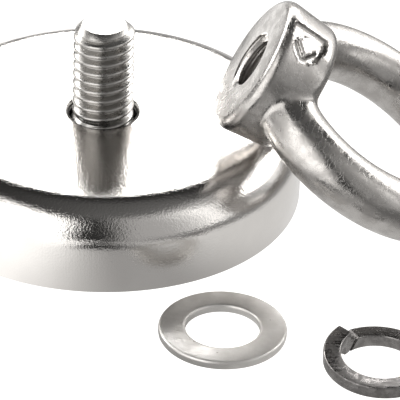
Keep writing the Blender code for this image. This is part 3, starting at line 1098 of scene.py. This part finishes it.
@dataclass
class Studio:
    """White table, a white room with dark gaps that the polished metal mirrors, and the camera."""

    pot_axis: Vector
    elevation: float = 31.83
    roll: float = 2.01
    distance: float = 523.88 * MM
    aim: tuple[float, float] = (15.53 * MM, -2.51 * MM)
    lens: float = 298.64
    tint: tuple[float, float, float] = (1.0, 0.99, 0.975)
    ceiling: tuple[float, float] = (0.035, 0.115)
    screens: tuple[Screen, ...] = (
        Screen(-80, 80, 22, 35.5, 8.0, 6, 1.4),
        Screen(-80, 16, -90, 23, 0.3, 8, 3),
        Screen(14, 74, -90, 33, 1.3, 8, 3),
        Screen(-163.5, -106, -90, 60, 2.2, 3, 2.5, 1.05),
        Screen(-120, -76, -90, 58, 0.5, 6, 4),
        Screen(98, 122, -90, 54, 1.6, 14, 8),
        Screen(94, 138, -90, 60, 0.8, 14, 8),
        Screen(72, 168, -90, 65, 0.48, 7, 7),
    )

    def camera(self) -> None:
        tilt = radians(self.elevation)
        towards = Vector((0.0, -cos(tilt), sin(tilt)))
        right = Vector((1.0, 0.0, 0.0))
        up = Vector((0.0, sin(tilt), cos(tilt)))
        lean = radians(self.roll)
        right, up = cos(lean) * right + sin(lean) * up, cos(lean) * up - sin(lean) * right
        place = self.pot_axis + towards * self.distance + right * self.aim[0] + up * self.aim[1]
        data = bpy.data.cameras.new("camera")
        data.lens = self.lens
        data.sensor_width = 36.0
        data.clip_start = 0.01
        camera = bpy.data.objects.new("camera", data)
        bpy.context.scene.collection.objects.link(camera)
        turn = Matrix((right, up, towards)).transposed().to_4x4()
        camera.matrix_world = Matrix.Translation(place) @ turn
        bpy.context.scene.camera = camera

    def table(self) -> None:
        """A plain white table, lit brighter on the left of the pot than on its right."""
        bpy.ops.mesh.primitive_plane_add(size=6.0, location=(0, 0, -0.02 * MM))
        table = named("white_table")
        made = bpy.data.materials.new("white_table")
        made.use_nodes = True
        graph = Graph(made.node_tree)
        made.node_tree.nodes.remove(made.node_tree.nodes["Principled BSDF"])
        where = graph.node("ShaderNodeTexCoord").outputs["Object"]
        split = graph.node("ShaderNodeSeparateXYZ", {"Vector": where})
        side = graph.math("SUBTRACT", split.outputs["X"], self.pot_axis.x)
        depth = graph.math("SUBTRACT", split.outputs["Y"], self.pot_axis.y)
        glow = GLOW_LEFT.at(graph, side)
        glow = graph.math("ADD", glow, GLOW_RIGHT.at(graph, side))
        patch = graph.math("MULTIPLY", PATCH_ACROSS.at(graph, side), PATCH_AWAY.at(graph, depth))
        glow = graph.math("ADD", glow, patch)
        glow = graph.math("MULTIPLY", glow, GLOW_END.at(graph, side))
        front = graph.math("MULTIPLY", STRIP_START.at(graph, side), STRIP_AWAY.at(graph, depth))
        strip = graph.math("MULTIPLY", front, STRIP_DEPTH.at(graph, side))
        glow = graph.math("MULTIPLY", glow, graph.math("SUBTRACT", 1.0, strip))
        seen = graph.node("ShaderNodeLightPath").outputs["Is Camera Ray"]
        strength = graph.math("MAXIMUM", glow, graph.math("MULTIPLY", seen, SEEN_WHITE))
        light = graph.node("ShaderNodeEmission", {"Color": (*self.tint, 1), "Strength": strength})
        graph.feed(made.node_tree.nodes["Material Output"].inputs["Surface"], light.outputs[0])
        dress(table, made)

    def room(self) -> None:
        """World light: a dim studio with large screens behind, on the left and on the right."""
        world = bpy.data.worlds.new("studio")
        world.use_nodes = True
        bpy.context.scene.world = world
        graph = Graph(world.node_tree)
        background = world.node_tree.nodes["Background"]
        where = graph.node("ShaderNodeTexCoord").outputs["Generated"]
        split = graph.node("ShaderNodeSeparateXYZ", {"Vector": where})
        x, y, z = (split.outputs[axis] for axis in "XYZ")
        height = graph.math("MULTIPLY", graph.math("ARCSINE", z), 180 / pi)
        bearing = graph.math("MULTIPLY", graph.math("ARCTAN2", x, y), 180 / pi)
        light = graph.remap(height, 56.0, 68.0, *self.ceiling)
        tilt = graph.math("SUBTRACT", graph.math("MULTIPLY", x, 0.14), graph.math("MULTIPLY", y, 0.05))
        light = graph.math("ADD", light, graph.math("MULTIPLY", tilt, graph.remap(height, 56.0, 68.0)))
        for screen in self.screens:
            above = graph.math("MAXIMUM", graph.math("SUBTRACT", height, 46.0), 0.0)
            leaning = graph.math("MULTIPLY", above, screen.skew)
            along = graph.math("SUBTRACT", bearing, leaning)
            across = graph.band(along, screen.left, screen.right, screen.side_blur)
            upward = graph.band(height, screen.bottom, screen.top, screen.edge_blur)
            patch = graph.math("MULTIPLY", graph.math("MULTIPLY", across, upward), screen.glow)
            light = graph.math("MAXIMUM", light, patch)
        seen = graph.node("ShaderNodeLightPath").outputs["Is Camera Ray"]
        light = graph.math("MAXIMUM", light, graph.math("MULTIPLY", seen, SEEN_WHITE))
        graph.feed(background.inputs["Color"], (*self.tint, 1.0))
        graph.feed(background.inputs["Strength"], light)

    def build(self) -> None:
        """Set up camera, table and light."""
        self.camera()
        self.table()
        self.room()
        bpy.context.scene.view_settings.view_transform = "Standard"


with open("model.json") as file:
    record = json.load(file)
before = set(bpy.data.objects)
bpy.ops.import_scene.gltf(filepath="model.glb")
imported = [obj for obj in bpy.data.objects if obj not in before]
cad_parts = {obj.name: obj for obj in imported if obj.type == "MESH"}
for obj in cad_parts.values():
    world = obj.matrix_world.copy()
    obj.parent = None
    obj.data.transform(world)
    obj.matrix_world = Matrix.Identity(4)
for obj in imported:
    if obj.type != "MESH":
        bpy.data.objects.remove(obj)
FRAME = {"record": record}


def main() -> None:
    logging.basicConfig(level=logging.INFO, format="%(name)s: %(message)s")
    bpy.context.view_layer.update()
    effects = Effects.build()
    pot = PotMagnet(effects)
    Studio(pot.axis).build()
    pot.build()
    Stud(effects, Thread(4.7625 * MM, 1.5875 * MM, 0.95 * MM)).build()
    FlatWasher(effects).build()
    SpringWasher(effects).build()
    EyeNut(effects, Thread(4.7625 * MM, 1.5875 * MM, 0.9 * MM, 0.1 * MM)).build()


if __name__ == "__main__":
    main()
